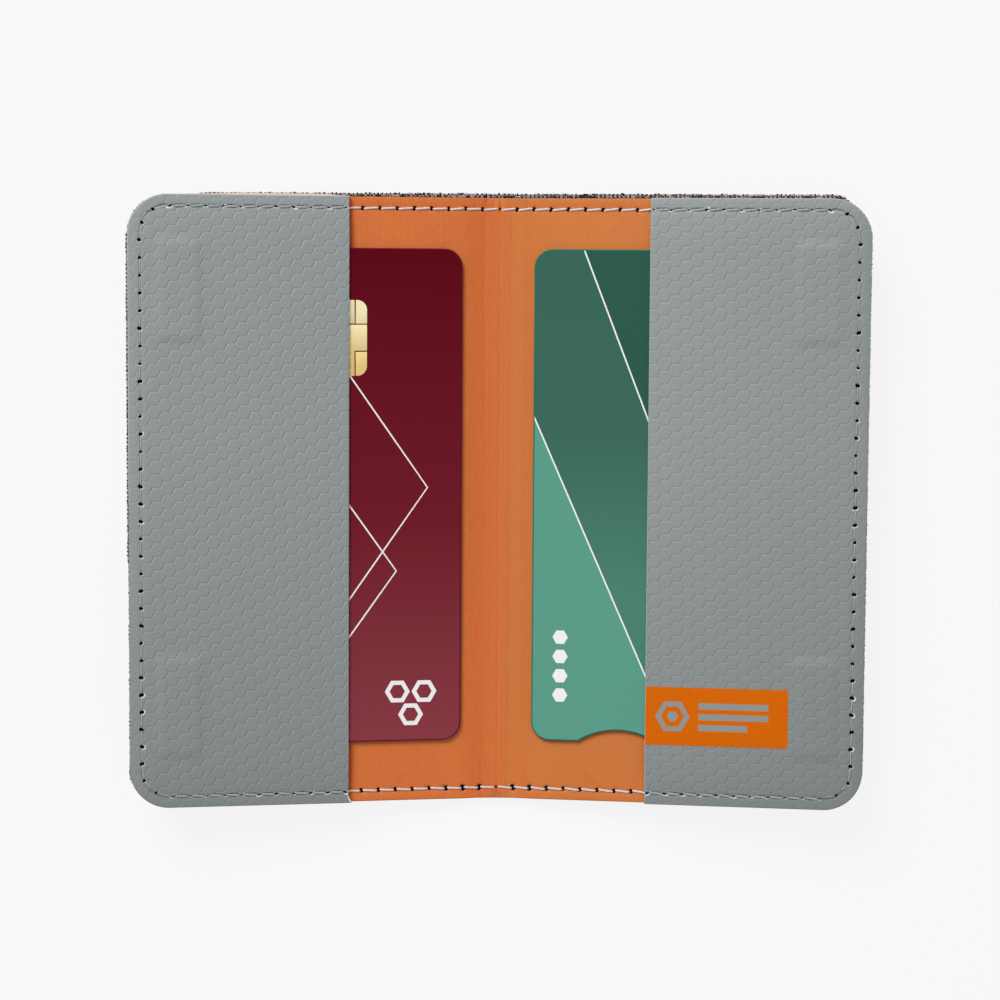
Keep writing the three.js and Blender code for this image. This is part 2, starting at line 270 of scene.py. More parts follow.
def mean_of_faces(values, faces):
    """The mean of the corners' values on each face, which is its middle if the values are points."""
    return np.array([values[list(face)].mean(0) for face in faces])


def add_piece(name, hand, flat, faces, recipes, numbers=None, sharp=50):
    """Makes a mesh piece of a half's flat points, which its materials' patterns follow, and folds it up.
    The numbers say which recipe each face has."""
    side = SIDES[hand]
    mesh = bpy.data.meshes.new(name)
    mesh.from_pydata(folded_up(flat, side).tolist(), [], [face[::side] for face in faces])
    pattern = mesh.attributes.new("flat_mm", "FLOAT_VECTOR", "POINT")
    pattern.data.foreach_set("vector", (flat * (side, 1, 1)).astype(np.float32).ravel())
    for recipe in recipes:
        mesh.materials.append(recipe.material)
    if numbers is not None:
        mesh.polygons.foreach_set("material_index", np.asarray(numbers, np.int32))
    mesh.shade_smooth()
    mesh.set_sharp_from_angle(angle=math.radians(sharp))
    piece = bpy.data.objects.new(name, mesh)
    bpy.context.scene.collection.objects.link(piece)
    return piece


def fold_lines(top, end=9.0, step=0.3):
    """Lines up a half near the spine, close enough together for the sheet to bend and crease there."""
    up = np.linspace(-top, top, 41)
    return [np.column_stack([np.full_like(up, x), up]) for x in np.arange(step, end, step)]


def tubes(lines, radii, sides, lobe=0.0, twist=0.0):
    """Points and faces of closed tubes along lines of flat points, and which tube and which stretch of it
    each face belongs to. Lobes make a tube look like twisted ply."""
    points, faces, numbers = [], [], []
    turn = np.linspace(0, 2 * math.pi, sides, endpoint=False)
    count = 0
    for number, (line, radius) in enumerate(zip(lines, radii)):
        run = unit(np.gradient(line, axis=0))
        across = unit(np.cross(run, (0, 0, 1)))
        rise = np.cross(across, run)
        lengths = np.concatenate([[0], np.cumsum(step_lengths(line))])
        for at, centre in enumerate(line):
            wide = radius * (1 + lobe * np.cos(3 * (turn - twist * lengths[at])))
            ring = np.outer(wide * np.cos(turn), across[at]) + np.outer(wide * np.sin(turn), rise[at])
            points.append(centre + ring)
        for at in range(len(line) - 1):
            low = count + at * sides
            for i in range(sides):
                one, other = low + i, low + (i + 1) % sides
                faces.append((one, other, other + sides, one + sides))
                numbers.append((number, at))
        last = count + (len(line) - 1) * sides
        faces.append(tuple(range(count, count + sides))[::-1])
        faces.append(tuple(range(last, last + sides)))
        numbers.extend([(number, 0), (number, len(line) - 2)])
        count = last + sides
    return np.concatenate(points), faces, np.array(numbers)


def joined(first, second):
    """Two lots of points, faces and face numbers as one."""
    count = len(first[0])
    faces = [*first[1], *(tuple(count + corner for corner in face) for face in second[1])]
    return np.concatenate([first[0], second[0]]), faces, np.concatenate([first[2], second[2]])


class Value:
    """A number that a material's nodes work out at each place, for plain arithmetic."""

    def __init__(self, recipe, socket):
        self.recipe = recipe
        self.socket = socket

    def __add__(self, other):
        return self.recipe.maths("ADD", self, other)

    def __sub__(self, other):
        return self.recipe.maths("SUBTRACT", self, other)

    def __rsub__(self, other):
        return self.recipe.maths("SUBTRACT", other, self)

    def __mul__(self, other):
        return self.recipe.maths("MULTIPLY", self, other)

    def __truediv__(self, other):
        return self.recipe.maths("DIVIDE", self, other)

    def at_least(self, low):
        return self.recipe.maths("MAXIMUM", self, low)

    def at_most(self, high):
        return self.recipe.maths("MINIMUM", self, high)


class Recipe:
    """A material, with short ways to add the nodes of its pattern. A relief is given as the scale, detail
    and depth of its noise."""

    def __init__(self, name, colour, roughness, relief=None, metallic=0.0, specular=0.5):
        self.material = bpy.data.materials.new(name)
        self.material.use_nodes = True
        self.nodes = self.material.node_tree.nodes
        self.links = self.material.node_tree.links
        self.shader = self.nodes["Principled BSDF"]
        self.shader.inputs["Base Color"].default_value = (*colour, 1)
        self.shader.inputs["Roughness"].default_value = roughness
        self.shader.inputs["Metallic"].default_value = metallic
        self.shader.inputs["Specular IOR Level"].default_value = specular
        if relief:
            scale, detail, depth = relief
            self.bump(self.noise(scale, detail), depth)

    def fill(self, socket, value):
        value = value.socket if isinstance(value, Value) else value
        if isinstance(value, bpy.types.NodeSocket):
            self.links.new(value, socket)
        else:
            socket.default_value = value

    def add(self, kind, settings=(), **inputs):
        """A new node with its settings made and its inputs filled."""
        node = self.nodes.new("ShaderNode" + kind)
        for name, value in dict(settings).items():
            setattr(node, name, value)
        for name, value in inputs.items():
            self.fill(node.inputs[name], value)
        return node

    def place(self):
        """The place on the flat sheet, in millimetres, so that a pattern stays put as the sheet bends."""
        return self.add("Attribute", {"attribute_name": "flat_mm"}).outputs["Vector"]

    def maths(self, operation, *values):
        node = self.add("Math", {"operation": operation})
        for socket, value in zip(node.inputs, values):
            self.fill(socket, value)
        return Value(self, node.outputs[0])

    def parts(self, vector=None):
        """The three parts of a vector, or of the place on the flat sheet."""
        vector = self.place() if vector is None else vector
        return [Value(self, part) for part in self.add("SeparateXYZ", Vector=vector).outputs]

    def whole(self, x, y, z):
        return self.add("CombineXYZ", X=x, Y=y, Z=z).outputs[0]

    def noise(self, scale, detail, stretch=None, vector=None):
        vector = self.place() if vector is None else vector
        if stretch:
            vector = self.whole(*(part * share for part, share in zip(self.parts(vector), stretch)))
        return Value(self, self.add("TexNoise", Scale=scale, Detail=detail, Vector=vector).outputs["Fac"])

    def cells(self, scale):
        """Small rounded cells, as in the grain of leather: 0 in the middle of a cell and more at its edge."""
        node = self.add("TexVoronoi", {"feature": "SMOOTH_F1"}, Scale=scale, Vector=self.place())
        return node.outputs["Distance"]

    def ramp(self, value, *stops):
        """Colours between stops, each of a place from 0 to 1 and a colour."""
        node = self.add("ValToRGB", Fac=value)
        elements = node.color_ramp.elements
        while len(elements) < len(stops):
            elements.new(0.5)
        for element, (at, colour) in zip(elements, stops):
            element.position = at
            element.color = (*colour, 1)
        return node.outputs["Color"]

    def mottled(self, scale, detail, low, high, vector=None):
        """A colour that wanders between two colours."""
        return self.ramp(self.noise(scale, detail, vector=vector), (0.3, low), (0.7, high))

    def near(self, value, at, width):
        """1 where a value is at a place, and less on both sides of it."""
        gap = (value - at) / width
        return self.maths("EXPONENT", gap * gap * -1.0)

    def colour_upwards(self, low, length, *stops):
        """Colours a sheet between stops, from a place on it upwards over a length."""
        up = self.parts()[1]
        self.colour(self.ramp((up - low) / length, *stops))

    def mixed(self, share, first, second):
        """A colour that goes from a first one to a second one as the share goes from 0 to 1."""
        node = self.add("Mix", {"data_type": "RGBA"}, Factor=share, A=first, B=(*second, 1))
        return node.outputs["Result"]

    def colour(self, value):
        self.fill(self.shader.inputs["Base Color"], value)

    def bump(self, height, distance):
        """Adds relief of a depth in millimetres on top of the relief added before."""
        node = self.add("Bump", Distance=distance * MM, Height=height)
        normal = self.shader.inputs["Normal"]
        if normal.links:
            self.links.new(normal.links[0].from_socket, node.inputs["Normal"])
        self.links.new(node.outputs["Normal"], normal)


woven_cloth = Recipe("woven_cloth", (0.04, 0.036, 0.036), 0.9)
yarns = [part / yarn_pitch for part in woven_cloth.parts()[:2]]
yarn_numbers = [woven_cloth.maths("FLOOR", yarn) for yarn in yarns]
crowns = [woven_cloth.maths("SINE", woven_cloth.maths("FRACT", yarn) * math.pi) for yarn in yarns]
warp, weft = (
    woven_cloth.noise(1.9, 3, vector=woven_cloth.whole(number, other_yarn * 0.16, seed))
    for number, other_yarn, seed in zip(yarn_numbers, yarns[::-1], (0.0, 7.3))
)
over = woven_cloth.maths("PINGPONG", yarn_numbers[0] + yarn_numbers[1], 1.0)
fibre = warp * (1.0 - over) + weft * over
woven_cloth.colour(
    woven_cloth.ramp(over * 0.13 + fibre, (0.53, (0.008, 0.006, 0.006)), (0.65, (0.45, 0.37, 0.34)))
)
woven_cloth.bump(crowns[0] * crowns[1], 0.12)
dark_yarn = Recipe("dark_yarn", (0.008, 0.006, 0.006), 0.95, (14.0, 3, 0.05))
pale_yarn = Recipe("pale_yarn", (0.5, 0.41, 0.38), 0.9, (14.0, 3, 0.05))


def cover_proud(line, side):
    """How far the cover's cut edge stands out past the lining's: along the upper edge, except at its ends,
    and a little at the left, above the middle and at the lower corner. Elsewhere it lies hidden."""
    out, up = line.T
    upwards = outwards_of(line)[:, 1]
    places = (-53, -50, -40, -26, -8, 58.5, 60.5)
    reaches = (hidden, 0.2, 0.27, 0.36, 0.48, 0.48, hidden)
    above = np.interp(side * out, places, reaches)
    beside = np.where((side < 0) & (up > -10) & (up < 46), 0.08, hidden)
    below = np.where((side < 0) & (out > 58), 0.1, hidden)
    level = np.maximum(upwards, 0) ** 2
    lower = np.maximum(-upwards, 0)
    under = upwards <= -0.1
    return above * level + beside * (1 - level) * ~under + below * under * lower**0.2


def cover_lower(points):
    """The cloth's outside, drawn in along the seam by the thread below."""
    return cover_bottom + cover_groove_depth * hump(from_edge(points), seam_inset, cover_groove_width)


for hand, side in SIDES.items():
    edge = leaf_outline(0, spacing=0.4)
    cut = edge + outwards_of(edge) * cover_proud(edge, side)[:, None]
    seam_lines = [leaf_outline(seam_inset + gap)[1:-1] for gap in (-1.2, -0.7, -0.35, 0, 0.35, 0.7, 1.2)]
    sheet = closed_sheet(
        half_rim(cut),
        (flat_at(cover_top), fold_lines(leaf_top - 0.5)),
        (cover_lower, fold_lines(leaf_top - 3.6) + seam_lines),
    )
    places = np.arange(0.15, step_lengths(cut).sum() - 0.1, yarn_pitch)
    starts, ways = along(cut, places), along(cut, places, outwards_of(cut))
    yarn_ends = []
    for start, out, (proud,) in zip(starts, ways, along(cut, places, cover_proud(edge, side)[:, None])):
        level = cover_top - chance.uniform(0.16, 0.3)
        length = chance.uniform(0.03, 0.1) + chance.uniform(0.05, 0.45) * max(proud, 0)
        lean = chance.uniform(-0.3, 0.3)
        way = out + lean * turned_left(out[None])[0]
        stations = [(yarn_end_start, 0.04), (0, 0), (length * 0.6, chance.uniform(-0.05, 0.05))]
        stations.append((length, chance.uniform(-0.12, 0.08)))
        yarn_ends.append(np.array([[*(start + way * reach), level + rise] for reach, rise in stations]))
    ends = tubes(yarn_ends, [chance.uniform(0.14, 0.19) for _ in yarn_ends], sides=8)
    colours = [chance.choice((1, 2)) if chance.random() < 0.25 else 1 + i % 2 for i in range(len(yarn_ends))]
    ends = (*ends[:2], np.array(colours)[ends[2][:, 0]])
    flat, faces, numbers = joined((*sheet[:2], np.zeros(len(sheet[1]), int)), ends)
    cover = add_piece("cover_" + hand, hand, flat, faces, [woven_cloth, dark_yarn, pale_yarn], numbers)
    bend_with(cover, hand)
    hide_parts(hand + "_cover", "spine_cover")

# Boards and foil
# A black fibre board stiffens each leaf, and an aluminium foil on it shields the cards. Both are glued in.
fibre_board = Recipe("fibre_board", (0.0185, 0.0185, 0.0185), 0.8)
board_place = fibre_board.add("TexCoord").outputs["Object"]
fibre_board.colour(fibre_board.mottled(900.0, 4, (0.01, 0.01, 0.01), (0.03, 0.03, 0.03), board_place))
fibre_board.bump(fibre_board.noise(2500.0, 2, vector=board_place), 0.03)
foil = Recipe("foil", (0.55, 0.56, 0.58), 0.35, metallic=1.0)
foil.bump(foil.noise(350.0, 3, vector=foil.add("TexCoord").outputs["Object"]), 0.05)
for hand in SIDES:
    frame["nodes"][hand + "_board"].material_slots[0].material = fibre_board.material
    frame["nodes"][hand + "_shield"].material_slots[0].material = foil.material

# Lining
# One sheet of orange synthetic leather lies over both leaves and sags into a valley over the spine, where
# opening and closing have creased it. Its creases are painted dark red, as shade in them along with their
# wear, and beside the left mouth it is painted a deeper red, as the pocket's shadow. The seam draws it in,
# and each needle hole is a short slit painted near black, as the shade inside it.
lining_level = laid_flat("right_lining", 1)[1][2]
lining_thickness = 0.6
lining_round = 0.13  # radius of its cut edge
valley_level = 0.27
valley_end = 7.0
lining_hole = (0.88, 1.1, 0.8)  # width, length and slant
hole_depth = 0.42
hole_steepness = 0.4  # of the hole's sides: 1 is a cone, and less is steeper


def soft_step(share):
    share = np.clip(share, 0, 1)
    return share * share * (3 - 2 * share)


def edge_drop(gap, radius):
    """How far a round edge has dropped at a distance from the cut."""
    return radius - np.sqrt(radius**2 - np.clip(radius - gap, 0, radius) ** 2)


def hole_ways(width, length, slant):
    """Half the width and half the length of each needle hole, as steps. Holes run across the seam,
    leaning by a slant, but along it in the long rows on the panels."""
    ways = seam_outwards + slant * hole_slant[:, None] * seam_run
    ways *= hole_size[:, None] / np.linalg.norm(ways, axis=1)[:, None]
    along_seam = -turned_left(ways) * hole_stretch[:, :1]
    return zip(needle_places, along_seam * width / 2, ways * hole_stretch[:, 1:] * length / 2)


def hole_reach(points, *hole):
    """How far points are from the middle of their needle hole, 1 being its edge, and which hole it is."""
    reach = np.full(len(points), np.inf)
    number = np.zeros(len(points), int)
    for i, (place, across, way) in enumerate(hole_ways(*hole)):
        gap = points[:, :2] - place
        near = np.flatnonzero(np.abs(gap).max(1) < 1.2)
        share = np.hypot(gap[near] @ across / (across @ across), gap[near] @ way / (way @ way))
        closer = share < reach[near]
        reach[near[closer]] = share[closer]
        number[near[closer]] = i
    return reach, number


def needle_holes(points, *hole):
    """From 1 in the middle of a needle hole to 0 at its edge and beyond."""
    return np.clip(1 - hole_reach(points, *hole)[0], 0, 1)


def hole_rings(*hole, shares=(1.0, 0.75, 0.5, 0.25)):
    """Rings of points round each needle hole, for the mesh to follow."""
    turn = np.linspace(0, 2 * math.pi, 13)
    rings = []
    for place, across, way in hole_ways(*hole):
        for share in shares:
            rings.append(place + share * (np.outer(np.cos(turn), across) + np.outer(np.sin(turn), way)))
    return rings


def lining_base(points):
    """The lining's upper side without creases, dips and holes."""
    rise = soft_step((points[:, 0] - 0.8) / (valley_end - 0.8))
    return valley_level + (lining_level - valley_level) * rise


def lining_upper(points, side):
    x, up = side * points[:, 0], points[:, 1] / leaf_top
    creases = 0.08 * (0.6 + 0.4 * up) * hump(x + 2.4 + 0.15 * up, 0, 0.4)
    creases += 0.05 * hump(x, 0.05, 0.28) + 0.03 * hump(x, 4.9, 0.6)
    dip = 0.1 * hump(from_edge(points), seam_inset, 0.45)
    holes = hole_depth * needle_holes(points, *lining_hole) ** hole_steepness
    edge = edge_drop(from_edge(points) - lining_round, lining_round)
    return lining_base(points) - creases - dip - holes - edge


def tone(colour, factor):
    """A colour made lighter or darker."""
    return tuple(part * factor for part in colour)


orange = (0.63, 0.158, 0.038)
orange_leather = Recipe("orange_leather", orange, 0.55, specular=0.2)
across, along_fold, _ = orange_leather.parts()
up_share = along_fold / leaf_top
wander = orange_leather.noise(0.12, 2, vector=orange_leather.whole(0.0, along_fold, 0.0))
wavy = wander * 1.2 + (across - 0.6)
top_bend = orange_leather.maths("EXPONENT", up_share * 12.0 - 12.0)
towards_ends = orange_leather.maths("POWER", orange_leather.maths("ABSOLUTE", up_share), 7.0)
# Crease lines, painted dark red: shade in the creases, along with their wear
worn = orange_leather.near(wavy - top_bend * 0.9, -2.9, 0.4) * (towards_ends * 0.8 + 0.15)
creases = ((-2.6, 2.2, 0.42), (0.1, 0.2, 0.4), (0.85, 0.16, 0.3), (1.7, 0.35, 0.3), (4.9, 1.1, 0.3))
for at, width, strength in creases:
    worn = worn.at_least(orange_leather.near(wavy, at, width) * strength)
shade = orange_leather.mottled(4.2, 3, tone(orange, 0.9), tone(orange, 1.09))
for share, colour in (
    ((up_share * -0.6).at_least(0.0), tone(orange, 1.1)),  # the lower end
    ((across * 0.16 + 0.3).at_most(0.6).at_least(0.0), (0.56, 0.184, 0.042)),  # the right leaf
    # the creases, painted dark red as shade along with their wear
    (worn * (orange_leather.noise(1.0, 3, (2.0, 0.35, 1.0)) * 1.3), (0.56, 0.085, 0.016)),
    (orange_leather.near(across, -mouth, 0.9) * 0.8, (0.66, 0.08, 0.018)),  # painted shadow beside the left pocket's mouth, a deeper red
):
    shade = orange_leather.mixed(share, shade, colour)
orange_leather.colour(shade)
orange_leather.bump(orange_leather.noise(1.0, 3, (1.6, 0.3, 1.0)), 0.07)
orange_leather.bump(orange_leather.cells(3.6), 0.03)
# The cut edge is paler: its own colour, and a painted highlight on it.
orange_cut_and_highlight = Recipe("orange_cut_and_highlight", (0.8, 0.58, 0.44), 0.8, (9.0, 3, 0.06))
# Near black inside the needle holes: painted shade.
hole_shade = Recipe("hole_shade", (0.004, 0.003, 0.003), 0.95, (12.0, 2, 0.03), specular=0.0)

for hand, side in SIDES.items():
    edge = leaf_outline(0, spacing=0.8)
    # Along the upper edge it stands out a little over the left pocket, and it is drawn in beside the spine
    upper_edge = edge[:, 1] > leaf_top - 0.01
    shows = np.clip((edge[:, 0] - mouth) / 4, 0, 1) * np.clip((mouth + 30 - edge[:, 0]) / 12, 0, 1)
    out = np.where(upper_edge, 0.3 * shows if side < 0 else 0, -0.06)
    out -= 0.12 * (upper_edge & (edge[:, 0] < mouth))
    edge += outwards_of(edge) * out[:, None]
    rings = [ring for ring in hole_rings(*lining_hole) if ring[0][0] < mouth + 2]
    rings = [ring[ring[:, 0] > 0.01] for ring in rings]
    seam_lines = [leaf_outline(seam_inset + gap)[1:-1] for gap in (-0.8, -0.4, 0, 0.4, 0.8)]
    edge_lines = [leaf_outline(gap)[1:-1] for gap in (0.08, 0.16, 0.2, 0.26)]
    upper_lines = fold_lines(leaf_top - 0.3, step=0.15) + rings + seam_lines + edge_lines
    sheet = closed_sheet(
        half_rim(edge),
        (lambda points: lining_upper(points, side), upper_lines),
        (lambda points: lining_base(points) - lining_thickness, fold_lines(leaf_top - 0.5)),
    )
    depth = needle_holes(sheet[0], *lining_hole)
    # Faces down in a needle hole are painted near black, as shade.
    hole_shade_faces = (mean_of_faces(depth, sheet[1]) > 0.1) & (sheet[2] == 0)
    past_edge = (mean_of_faces(from_edge(sheet[0]), sheet[1]) < 0.05) | (sheet[2] == 2)
    numbers = np.where(past_edge, 1, np.where(hole_shade_faces, 2, 0))
    lining = add_piece("lining_" + hand, hand, *sheet[:2], [orange_leather, orange_cut_and_highlight, hole_shade], numbers)
    bend_with(lining, hand)
    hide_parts(hand + "_lining", "spine_lining")

# Magnets
# Two flat closure magnets in each leaf, nickel plated, lie on the panel's backing and lift the panel.
magnet_level = 1.63
magnet_top = magnet_level + 0.6
magnet_inset = (0.7, 1.2, 0)  # the magnets are a little smaller than the room packed for them
magnet_corner = 0.8
magnet_round = 0.15


def rounded_ring(low, high, radius, steps=9):
    """A box's outline with round corners, counterclockwise from its lower right corner."""
    (left, bottom), (right, top) = low[:2] + radius, high[:2] - radius
    ring = []
    for x, y, first in ((right, bottom, -90), (right, top, 0), (left, top, 90), (left, bottom, 180)):
        turn = np.radians(np.linspace(first, first + 90, steps))
        ring.append(np.column_stack([x + radius * np.cos(turn), y + radius * np.sin(turn)]))
    return np.concatenate(ring)


def drawn_in(ring, gap):
    """A closed ring of points, drawn in by a gap."""
    inner = ring + gap * turned_left(unit(np.roll(ring, -1, 0) - np.roll(ring, 1, 0)))
    return np.concatenate([inner, inner[:1]])


def distance(points, line):
    """How far each point is from a line through points."""
    line = np.array(line, float)
    nearest = np.full(len(points), np.inf)
    for start, end in zip(line[:-1], line[1:]):
        reach = end - start
        gap = points[:, :2] - start
        share = np.clip(gap @ reach / max(reach @ reach, 1e-9), 0, 1)
        nearest = np.minimum(nearest, np.linalg.norm(gap - share[:, None] * reach, axis=1))
    return nearest


nickel = Recipe("nickel", (0.46, 0.45, 0.43), 0.3, (1.5, 3, 0.02), metallic=1.0)
magnet_boxes = {}
for hand, side in SIDES.items():
    magnet_boxes[hand] = []
    for end in ("upper", "lower"):
        low, high = laid_flat(f"{hand}_magnet_{end}", side)
        low, high = low + magnet_inset, high - magnet_inset
        magnet_boxes[hand].append((low, high))
        ring = rounded_ring(low, high, magnet_corner)
        closed = drawn_in(ring, 0)
        edge_lines = [drawn_in(ring, gap) for gap in (0.06, magnet_round)]
        sheet = closed_sheet(
            ring,
            (lambda points: magnet_top - edge_drop(distance(points, closed), magnet_round), edge_lines),
            (flat_at(magnet_level),),
        )
        magnet = add_piece(f"magnet_{end}_{hand}", hand, *sheet[:2], [nickel])
        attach(magnet, hand + "_leaf")
        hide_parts(f"{hand}_magnet_{end}")

# Panel backing
# A thin cloth under each panel, sewn in with it on three sides. It holds the magnets and guides the card.
backing_top = 0.78
backing_low = backing_top - 0.12
pocket_height = 0.84
pocket_reach = (1.3, 6.5)  # over which the pocket rises, from the outer seam and from the long rows
fray_height = 1.4


def rise_inside(points, inset, outer_reach, row_reach):
    """From 0 near the leaf's edges to 1 further in, steep at first and then ever more gently."""
    rise = 1
    for gap, reach in (
        (leaf_edge - inset - points[:, 0], outer_reach),
        (leaf_top - inset - np.abs(points[:, 1]), row_reach),
    ):
        rise = rise * (1 - (1 - np.clip(gap / reach, 0, 1)) ** 2)
    return rise


def pocket_rise(points):
    """From 0 at the seam to 1 over the card, where the pocket stands off the lining."""
    return rise_inside(points, seam_inset, *pocket_reach)


def mouth_edge(up, frayed):
    """How far out from the middle a pocket's edge is. A frayed one juts out at its lower end."""
    return mouth - frayed * np.clip((fray_height - leaf_top - up) / fray_height, 0, 1)


def pocket_ring(gap, frayed=0.0):
    """The outline of a pocket sheet, from the mouth's lower end up the mouth and round the leaf."""
    line = leaf_outline(gap, spacing=0.8)
    up = np.linspace(gap - leaf_top, leaf_top - gap, 160)
    up_mouth = np.column_stack([mouth_edge(up, frayed) + gap, up])
    return np.concatenate([up_mouth, line[line[:, 0] > mouth + gap]])


def grid_spots(step, gap):
    """Places spread evenly over a pocket sheet, so that it can curve."""
    x, y = np.meshgrid(np.arange(mouth, leaf_edge, step), np.arange(-leaf_top, leaf_top, step))
    spots = np.column_stack([x.ravel() + step / 3, y.ravel() + step / 3])
    return spots[(from_edge(spots) > gap) & (spots[:, 0] > mouth + gap)]


backing_cloth = Recipe("backing_cloth", (0.159, 0.174, 0.174), 0.85)
backing_cloth.colour(backing_cloth.mottled(2.5, 4, (0.13, 0.145, 0.145), (0.19, 0.2, 0.2)))
backing_cloth.bump(backing_cloth.noise(5.0, 2, (1.0, 0.3, 1.0)), 0.05)
pocket_spots = grid_spots(1.5, 0.8)
for hand, side in SIDES.items():
    sheet = closed_sheet(
        pocket_ring(0.15)[::-1],
        (lambda points: backing_top + pocket_height * pocket_rise(points), [], pocket_spots),
        (lambda points: backing_low + pocket_height * pocket_rise(points), [], pocket_spots),
    )
    backing = add_piece("backing_" + hand, hand, *sheet[:2], [backing_cloth])
    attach(backing, hand + "_leaf")
    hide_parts(hand + "_panel_backing")

# Panels
# A pocket panel of grey synthetic leather on each leaf, embossed all over with hexagons. It is thick at the
# seam, rises gently over the card and more over the magnets. Its cut edges show the paler inside. Along its
# upper edge the same paler colour is a painted highlight, the walls of its lower edge are painted dark as
# shade, and it is painted darker towards its lower and right ends, as shade. A pale speck beside each
# needle hole is a painted highlight.
panel_level = 1.68
panel_height = 0.45
panel_reach = (3.4, 8.5)
panel_round = 0.18
panel_hole = (0.55, 0.74, 0.6)
magnet_lift = 0.26
magnet_slope = 2.1
mouth_fray = {"left": 0.7, "right": 0.0}
# The middle of one hexagon, and the steps to two of its neighbours, on the flat sheet
HEXAGONS = {
    "left": np.array([(-1.81, -0.573), (1.8875, 1.1787), (-1.9386, 1.1653)]),
    "right": np.array([(4.514, -1.036), (1.8931, 1.2191), (-1.9342, 1.1312)]),
}
groove_start = 0.81  # of the way from a hexagon's middle to its edge
groove_depths = (0.034, 0.046, 0.1)  # of the edges at the upper right, at the top and at the upper left
worn_depth = 0.6  # of the embossing at the seam and outside it, as a share
channel_start, channel_reach = 0.3, 0.7  # from the needle's place to where a stitch's channel is widest
row_channel = (0.36, 0.24)  # half the width and the depth of a stitch's channel in the long rows
outer_channel = (0.18, 0.1)  # the same at the outer edge, where the channel runs through evenly


def magnet_rise(points, hand, slope):
    """From 1 over a magnet to 0 where its slope ends."""
    rise = np.zeros(len(points))
    for low, high in magnet_boxes[hand]:
        gap = np.maximum(np.maximum(low[:2] - points[:, :2], points[:, :2] - high[:2]), 0)
        rise = np.maximum(rise, soft_step(1 - np.linalg.norm(gap, axis=1) / slope))
    return rise


def hexagon_corners(hand):
    _, one, other = HEXAGONS[hand]
    up, across = one + other, one - other
    half = [across / 3, across / 6 + up / 2, up / 2 - across / 6]
    return np.array(half + [-corner for corner in half])


def hexagon_lines(hand):
    """Closed lines round every hexagon of a panel: along its edge, down its groove's side, and inside it."""
    side = SIDES[hand]
    middle, one, other = HEXAGONS[hand]
    corners = hexagon_corners(hand)
    corners = np.concatenate([corners, corners[:1]])
    sides = []
    for start, end in zip(corners[:-1], corners[1:]):
        sides += [start + share * (end - start) for share in (0, 0.17, 0.83)]
    sides = np.array(sides + [corners[0]])
    lines = []
    for i in range(-50, 51):
        for j in range(-50, 51):
            centre = middle + i * one + j * other
            out = side * centre[0]
            if mouth - 1.5 < out < leaf_edge + 1.5 and abs(centre[1]) < leaf_top + 1.5:
                for share in (1.0, 0.95, 0.87):
                    lines.append((centre + sides * share) * (side, 1))
                for share in (groove_start, groove_start - 0.03, 0.4):
                    lines.append((centre + corners * share) * (side, 1))
    return lines


def embossing(points, hand):
    """How deep the grooves between the hexagons are. Each pair of a hexagon's edges has its own depth."""
    flat = points[:, :2] * (SIDES[hand], 1) - HEXAGONS[hand][0]
    steps = np.round(flat @ np.linalg.inv(HEXAGONS[hand][1:]))
    corners = hexagon_corners(hand)
    normals = []
    for i in range(3):
        side = corners[(i + 1) % 6] - corners[i]
        normal = np.array([side[1], -side[0]])
        normals.append(normal / (normal @ corners[i]))
    shares = np.full((len(points), 3), np.inf)
    for i in (-1, 0, 1):
        for j in (-1, 0, 1):
            gap = flat - (steps + (i, j)) @ HEXAGONS[hand][1:]
            found = np.abs(gap @ np.array(normals).T)
            closer = found.max(1) < shares.max(1)
            shares[closer] = found[closer]
    into_groove = np.clip((shares - groove_start) / (1 - groove_start), 0, 1)
    return ((0.5 - 0.5 * np.cos(math.pi * into_groove)) * groove_depths).max(1)


def panel_base(points, hand):
    """The panel's upper side without the embossing, dips and holes."""
    rise = panel_height * rise_inside(points, 0, *panel_reach)
    return panel_level + rise + magnet_lift * magnet_rise(points, hand, magnet_slope)


def beside_rows(points):
    """Whether points are nearer to the leaf's upper or lower edge than to its outer edge."""
    return leaf_top - np.abs(points[:, 1]) < leaf_edge - points[:, 0]


def from_needle(points):
    """How far points near the seam are from the nearest needle place."""
    nearest = np.full(len(points), np.inf)
    close = np.flatnonzero(np.abs(from_edge(points) - seam_inset) < 0.6)
    nearest[close] = np.linalg.norm(points[close, None, :2] - needle_places[None], axis=2).min(1)
    return nearest


def panel_upper(points, hand):
    in_row = beside_rows(points)
    seam_gap = np.abs(from_edge(points) - seam_inset)
    lens = row_channel[0] * np.sqrt(np.clip((from_needle(points) - channel_start) / channel_reach, 0, 1))
    channel = np.where(in_row, lens, outer_channel[0])
    dip = 0.06 * hump(seam_gap, 0, 0.5)
    dip += np.where(in_row, row_channel[1], outer_channel[1]) * soft_step((channel - seam_gap) / 0.08)
    holes = hole_depth * needle_holes(points, *panel_hole) ** hole_steepness
    from_mouth = points[:, 0] - mouth_edge(points[:, 1], mouth_fray[hand])
    edge = edge_drop(np.minimum(from_edge(points), from_mouth), panel_round)
    worn = np.where(from_edge(points) < seam_inset + 0.3, worn_depth, 1)
    return panel_base(points, hand) - worn * embossing(points, hand) - dip - holes - edge


def panel_lower(points, hand):
    level = backing_top + 0.01 + pocket_height * pocket_rise(points)
    over_magnet = magnet_rise(points, hand, 0.5) > 0.5
    return np.where(over_magnet, magnet_top + 0.02, level)


def box_line(low, high):
    """A closed line round a box, counterclockwise from its lower left corner."""
    (left, bottom), (right, top) = low, high
    return np.array([(left, bottom), (right, bottom), (right, top), (left, top), (left, bottom)])


